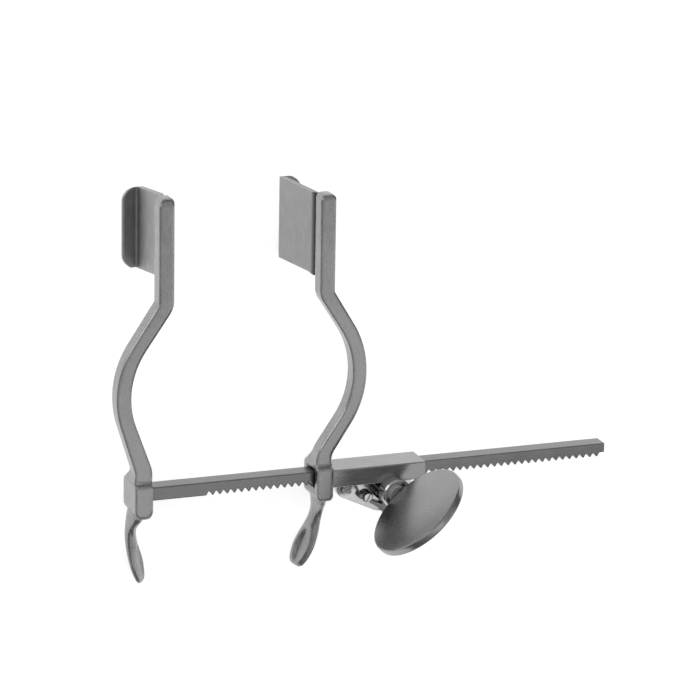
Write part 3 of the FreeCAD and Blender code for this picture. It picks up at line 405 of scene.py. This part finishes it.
def tooth_tree():
    """Node tree that draws a toothed bar from the rest of its outline."""
    tree = bpy.data.node_groups.new("teeth along a bar", "GeometryNodeTree")
    face = tree.interface
    face.new_socket("Outline", in_out="INPUT", socket_type="NodeSocketGeometry")
    for name, kind in (("Teeth", "NodeSocketInt"), ("Pitch", "NodeSocketFloat"), ("Depth", "NodeSocketFloat"),
                       ("Tip flat", "NodeSocketFloat"), ("Flank run", "NodeSocketFloat"),
                       ("First tip", "NodeSocketVector"), ("Width", "NodeSocketFloat"),
                       ("Finish", "NodeSocketMaterial")):
        face.new_socket(name, in_out="INPUT", socket_type=kind)
    face.new_socket("Bar", in_out="OUTPUT", socket_type="NodeSocketGeometry")
    source = tree.nodes.new("NodeGroupInput").outputs
    link = tree.links.new

    def feed(node, values):
        for socket, value in zip(node.inputs, values):
            if isinstance(value, float):
                socket.default_value = value
            else:
                link(value, socket)
        return node.outputs[0]

    def maths(operation, first, second):
        node = tree.nodes.new("ShaderNodeMath")
        node.operation = operation
        return feed(node, (first, second))

    def corner(along, up):
        return feed(tree.nodes.new("ShaderNodeCombineXYZ"), (along, up))

    half_tip = maths("MULTIPLY", source["Tip flat"], 0.5)
    start = maths("SUBTRACT", half_tip, source["Pitch"])
    root_start = maths("ADD", start, source["Flank run"])
    tip_start = maths("MULTIPLY", half_tip, -1.0)
    root_end = maths("SUBTRACT", tip_start, source["Flank run"])
    corners = [corner(start, 0.0), corner(root_start, source["Depth"]), corner(root_end, source["Depth"]),
               corner(tip_start, 0.0), corner(half_tip, 0.0)]
    choose = tree.nodes.new("GeometryNodeIndexSwitch")
    choose.data_type = "VECTOR"
    while len(choose.index_switch_items) < len(corners):
        choose.index_switch_items.new()
    index = tree.nodes.new("GeometryNodeInputIndex")
    link(index.outputs[0], choose.inputs["Index"])
    for i, value in enumerate(corners):
        link(value, choose.inputs[str(i)])
    tooth = tree.nodes.new("GeometryNodeMeshLine")
    tooth.inputs["Count"].default_value = len(corners)
    shaped = tree.nodes.new("GeometryNodeSetPosition")
    link(tooth.outputs["Mesh"], shaped.inputs["Geometry"])
    link(choose.outputs[0], shaped.inputs["Position"])

    row = tree.nodes.new("GeometryNodeMeshLine")
    link(source["Teeth"], row.inputs["Count"])
    link(source["First tip"], row.inputs["Start Location"])
    link(corner(source["Pitch"], 0.0), row.inputs["Offset"])
    copies = tree.nodes.new("GeometryNodeInstanceOnPoints")
    link(row.outputs["Mesh"], copies.inputs["Points"])
    link(shaped.outputs["Geometry"], copies.inputs["Instance"])
    real = tree.nodes.new("GeometryNodeRealizeInstances")
    link(copies.outputs["Instances"], real.inputs["Geometry"])
    joined = tree.nodes.new("GeometryNodeJoinGeometry")
    link(real.outputs["Geometry"], joined.inputs["Geometry"])
    link(source["Outline"], joined.inputs["Geometry"])
    closed = tree.nodes.new("GeometryNodeMergeByDistance")
    closed.inputs["Distance"].default_value = SEAM_REACH
    link(joined.outputs["Geometry"], closed.inputs["Geometry"])
    curve = tree.nodes.new("GeometryNodeMeshToCurve")
    link(closed.outputs["Geometry"], curve.inputs["Mesh"])
    filled = tree.nodes.new("GeometryNodeFillCurve")
    filled.mode = "NGONS"
    link(curve.outputs["Curve"], filled.inputs["Curve"])

    drawn = tree.nodes.new("GeometryNodeExtrudeMesh")
    drawn.inputs["Individual"].default_value = False
    link(filled.outputs["Mesh"], drawn.inputs["Mesh"])
    link(source["Width"], drawn.inputs["Offset Scale"])
    back = tree.nodes.new("GeometryNodeFlipFaces")
    link(filled.outputs["Mesh"], back.inputs["Mesh"])
    shell = tree.nodes.new("GeometryNodeJoinGeometry")
    link(drawn.outputs["Mesh"], shell.inputs["Geometry"])
    link(back.outputs["Mesh"], shell.inputs["Geometry"])
    sealed = tree.nodes.new("GeometryNodeMergeByDistance")
    sealed.inputs["Distance"].default_value = SEAM_REACH
    link(shell.outputs["Geometry"], sealed.inputs["Geometry"])
    solid = tree.nodes.new("GeometryNodeRealizeInstances")
    link(sealed.outputs["Geometry"], solid.inputs["Geometry"])
    dressed = tree.nodes.new("GeometryNodeSetMaterial")
    link(solid.outputs["Geometry"], dressed.inputs["Geometry"])
    link(source["Finish"], dressed.inputs["Material"])
    link(dressed.outputs["Geometry"], tree.nodes.new("NodeGroupOutput").inputs["Bar"])
    return tree


teeth_tree = tooth_tree()
print("tooth tree nodes", len(teeth_tree.nodes))

# %% [markdown]
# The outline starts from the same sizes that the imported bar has: the tips of the teeth lie on its lower
# face, the last tip a little before its end. The tree's inputs are set by each socket's identifier,
# because the modifier doesn't know them by name.

# %% Draw the bar with it
TEETH = 56
PITCH = 0.0035
TOOTH_DEPTH = 0.0019
TIP_FLAT = 0.0005
FLANK_RUN = TOOTH_DEPTH * math.tan(math.radians(32.0))
END_LAND = 0.0038
SOCKET_DEPTH = 0.006
bar_start = bar_low.x + SOCKET_DEPTH
tip_height = bar_low.y
root_height = tip_height + TOOTH_DEPTH
last_tip = bar_high.x - END_LAND
first_tip = last_tip - (TEETH - 1) * PITCH


def bar_outline():
    """The rest of the bar's outline: from the last tooth round the end and back along the top."""
    path = [(last_tip + TIP_FLAT / 2, tip_height), (last_tip + TIP_FLAT / 2 + FLANK_RUN, root_height),
            (bar_high.x, root_height), (bar_high.x, bar_high.y), (bar_start, bar_high.y),
            (bar_start, tip_height), (first_tip - PITCH + TIP_FLAT / 2, tip_height)]
    mesh = bpy.data.meshes.new("bar outline")
    mesh.from_pydata([(x, y, 0.0) for x, y in path], [(i, i + 1) for i in range(len(path) - 1)], [])
    return new_piece("bar_outline", mesh)


def set_input(modifier, name, value):
    """Set a modifier's input by the identifier of the socket that has this name."""
    socket = next(item for item in modifier.node_group.interface.items_tree if item.name == name)
    modifier[socket.identifier] = value


rack = bar_outline()
teeth = rack.modifiers.new("teeth", "NODES")
teeth.node_group = teeth_tree
for name, value in (("Teeth", TEETH), ("Pitch", PITCH), ("Depth", TOOTH_DEPTH), ("Tip flat", TIP_FLAT),
                    ("Flank run", FLANK_RUN), ("First tip", (first_tip, tip_height, 0.0)),
                    ("Width", bar_high.z - bar_low.z), ("Finish", bar_steel)):
    set_input(teeth, name, value)
plain_mesh(rack)
print("bar faces", len(rack.data.polygons), "teeth from %.4f to %.4f m" % (first_tip, last_tip))

# %% [markdown]
# The end of the bar is stepped down to a tenon that sits in the fixed arm. The two long top edges of a
# ground bar are broken, so mesh code bevels them. Then the bar is laid into the tilt of the instrument.

# %% Tenon, broken edges and place of the bar
TOP_EDGE_BREAK = 0.0005
TOP_EDGE_STEPS = 3
TENON_STEP = 0.0006
LONG_EDGE = 0.1
work = bmesh.new()
work.from_mesh(rack.data)
bpy.data.objects.remove(rack)
bmesh.ops.recalc_face_normals(work, faces=work.faces)
start_face = min(work.faces, key=lambda face: face.calc_center_median().x)
top_edges = [edge for edge in work.edges
             if all(vertex.co.y > bar_high.y - SAME_PLACE for vertex in edge.verts)
             and edge.calc_length() > LONG_EDGE]
bmesh.ops.inset_individual(work, faces=[start_face], thickness=TENON_STEP)
tenon = bmesh.ops.extrude_discrete_faces(work, faces=[start_face])["faces"]
bmesh.ops.translate(work, verts=tenon[0].verts, vec=(-SOCKET_DEPTH, 0.0, 0.0))
bmesh.ops.bevel(work, geom=top_edges, offset=TOP_EDGE_BREAK, offset_type="OFFSET",
                segments=TOP_EDGE_STEPS, profile=0.5, affect="EDGES")
work.transform(to_row @ Matrix.Translation((0.0, 0.0, bar_low.z)))
rack = finished_piece("fine_rack_bar", work)
stand_for(rack, "rack_bar", bar_steel)
print("top edges", len(top_edges), "bar faces", len(rack.data.polygons))

# %% [markdown]
# ## The thumb plate
# The plate is turned and a little fuller in the middle, which gives it the slow shift from light to
# dark. A profile is spun round the plate's axis with bmesh, fine enough for a smooth shade. The
# plate's axis lies square to the pinion's axis, turned by the angle at which the plate stands.

# %% Turn the plate
PLATE_ANGLE = math.radians(42.0)
PLATE_RADIUS = 0.0247
PLATE_HALF = 0.0023
PLATE_STEPS = 120
FACE_RINGS = 12
RIM_RINGS = 6
CROWN_DROP = 0.0004
RIM_ROUND = 0.0008
plate_low, plate_high = bar_box("thumb_plate")
plate_centre = (plate_low + plate_high) / 2
plate_centre.z = plate_high.z - PLATE_RADIUS


def plate_profile():
    """Points (radius, height) from the middle of the upper face over the rim to the middle plane."""
    flat = PLATE_RADIUS - RIM_ROUND
    points = [(flat * i / FACE_RINGS, PLATE_HALF - CROWN_DROP * (i / FACE_RINGS) ** 3)
              for i in range(FACE_RINGS + 1)]
    side = PLATE_HALF - CROWN_DROP - RIM_ROUND
    for i in range(1, RIM_RINGS + 1):
        turn = math.pi / 2 * (1 - i / RIM_RINGS)
        points.append((flat + RIM_ROUND * math.cos(turn), side + RIM_ROUND * math.sin(turn)))
    return points


upper = plate_profile()
profile = upper + [(radius, -height) for radius, height in upper[::-1]]
work = bmesh.new()
line = [work.verts.new((radius, height, 0.0)) for radius, height in profile]
edges = [work.edges.new(pair) for pair in zip(line, line[1:])]
bmesh.ops.spin(work, geom=line + edges, axis=(0, 1, 0), cent=(0, 0, 0), steps=PLATE_STEPS,
               angle=2 * math.pi)
bmesh.ops.remove_doubles(work, verts=work.verts, dist=SAME_PLACE)
bmesh.ops.recalc_face_normals(work, faces=work.faces)
work.transform(to_row @ Matrix.Translation(plate_centre) @ Matrix.Rotation(PLATE_ANGLE, 4, "Z"))
plate = finished_piece("fine_thumb_plate", work)
stand_for(plate, "thumb_plate", plate_steel)
print("plate faces", len(plate.data.polygons))

# %% [markdown]
# ## The picture
# The photograph looks down on the instrument from the fixed arm's side with a long lens. The camera is
# built from a place, a point to aim at and a small roll, with the arms pointing up in the picture.

# %% Camera
CAMERA_PLACE = Vector((-0.5978, -0.0172, 1.6862))
CAMERA_AIM = Vector((-0.0046, 0.0073, 0.0285))
CAMERA_ROLL = math.radians(-5.30)
LENS_MM = 195.2
SENSOR_MM = 36.0
CLIP_END = 20.0

toward = (CAMERA_PLACE - CAMERA_AIM).normalized()
right = Vector((0.0, 1.0, 0.0)).cross(toward).normalized()
upward = toward.cross(right)
turn = Matrix((right, upward, toward)).transposed().to_4x4()
lens = bpy.data.cameras.new("picture lens")
lens.lens = LENS_MM
lens.sensor_width = SENSOR_MM
lens.clip_end = CLIP_END
camera = bpy.data.objects.new("picture camera", lens)
scene.collection.objects.link(camera)
camera.matrix_world = Matrix.Translation(CAMERA_PLACE) @ Matrix.Rotation(CAMERA_ROLL, 4, toward) @ turn
scene.camera = camera
print("camera %.3f m from the aim" % (CAMERA_PLACE - CAMERA_AIM).length)

# %% [markdown]
# Steel shows the room more than its own colour. The floor is white paper on a light table, so it glows a
# little and hardly takes a shadow, and the sides of the arms mirror it. The room is dark near the floor
# and lighter overhead: the wide faces look up into it and stay at a middle tone, and every rounded edge
# mirrors the dark part as a fine line. A strip light beyond the bar lifts the wide faces, and two boxes
# at the sides fill the rest.
# The plain Standard view keeps the paper white; the filmic one would turn it grey.

# %% Floor, room and lamps
FLOOR_SIZE = 8.0
FLOOR_GLOW = 0.66
PAPER_WHITE = 0.92
PAPER_ROUGHNESS = 0.9
ROOM_DARK = 0.09
ROOM_LIGHT = 0.62
DARK_UP_TO = 0.15       # height of the view direction, 0 at the horizon and 1 straight up
LIGHT_FROM = 0.95


def soft_box(name, place, width, height, power):
    """A soft lamp that is turned to the middle of the instrument."""
    light = bpy.data.lights.new(name, "AREA")
    light.shape = "RECTANGLE"
    light.size = width
    light.size_y = height
    light.energy = power
    lamp = bpy.data.objects.new(name, light)
    scene.collection.objects.link(lamp)
    lamp.location = place
    lamp.rotation_euler = (-Vector(place)).to_track_quat("-Z", "Y").to_euler()


def paper_floor(size):
    """A square of glowing white paper."""
    mesh = bpy.data.meshes.new("paper_floor")
    half = size / 2
    corners = [(-half, -half, 0), (half, -half, 0), (half, half, 0), (-half, half, 0)]
    mesh.from_pydata(corners, [], [(0, 1, 2, 3)])
    floor = new_piece("paper_floor", mesh)
    material = bpy.data.materials.new("white_paper")
    material.use_nodes = True
    shader = material.node_tree.nodes["Principled BSDF"]
    shader.inputs["Base Color"].default_value = (PAPER_WHITE, PAPER_WHITE, PAPER_WHITE, 1.0)
    shader.inputs["Roughness"].default_value = PAPER_ROUGHNESS
    shader.inputs["Emission Color"].default_value = (1.0, 1.0, 1.0, 1.0)
    shader.inputs["Emission Strength"].default_value = FLOOR_GLOW
    mesh.materials.append(material)


scene.view_settings.view_transform = "Standard"
paper_floor(FLOOR_SIZE)
room = bpy.data.worlds.new("studio_room")
scene.world = room
room.use_nodes = True
sky = room.node_tree
heading = sky.nodes.new("ShaderNodeTexCoord")
parts = sky.nodes.new("ShaderNodeSeparateXYZ")
sky.links.new(heading.outputs["Generated"], parts.inputs["Vector"])
sky.links.new(add_ramp(sky, parts.outputs["Z"], ROOM_DARK, ROOM_LIGHT, DARK_UP_TO, LIGHT_FROM),
              sky.nodes["Background"].inputs["Color"])
for name, place, width, height, power in (("strip_over_the_bar", (0.32, -0.76, 1.0), 0.9, 0.16, 0.6),
                                          ("box_from_the_right", (1.4, -0.6, 0.5), 0.8, 0.8, 2.2),
                                          ("box_from_the_left", (-1.5, 0.6, 1.2), 1.0, 1.0, 4.0)):
    soft_box(name, place, width, height, power)
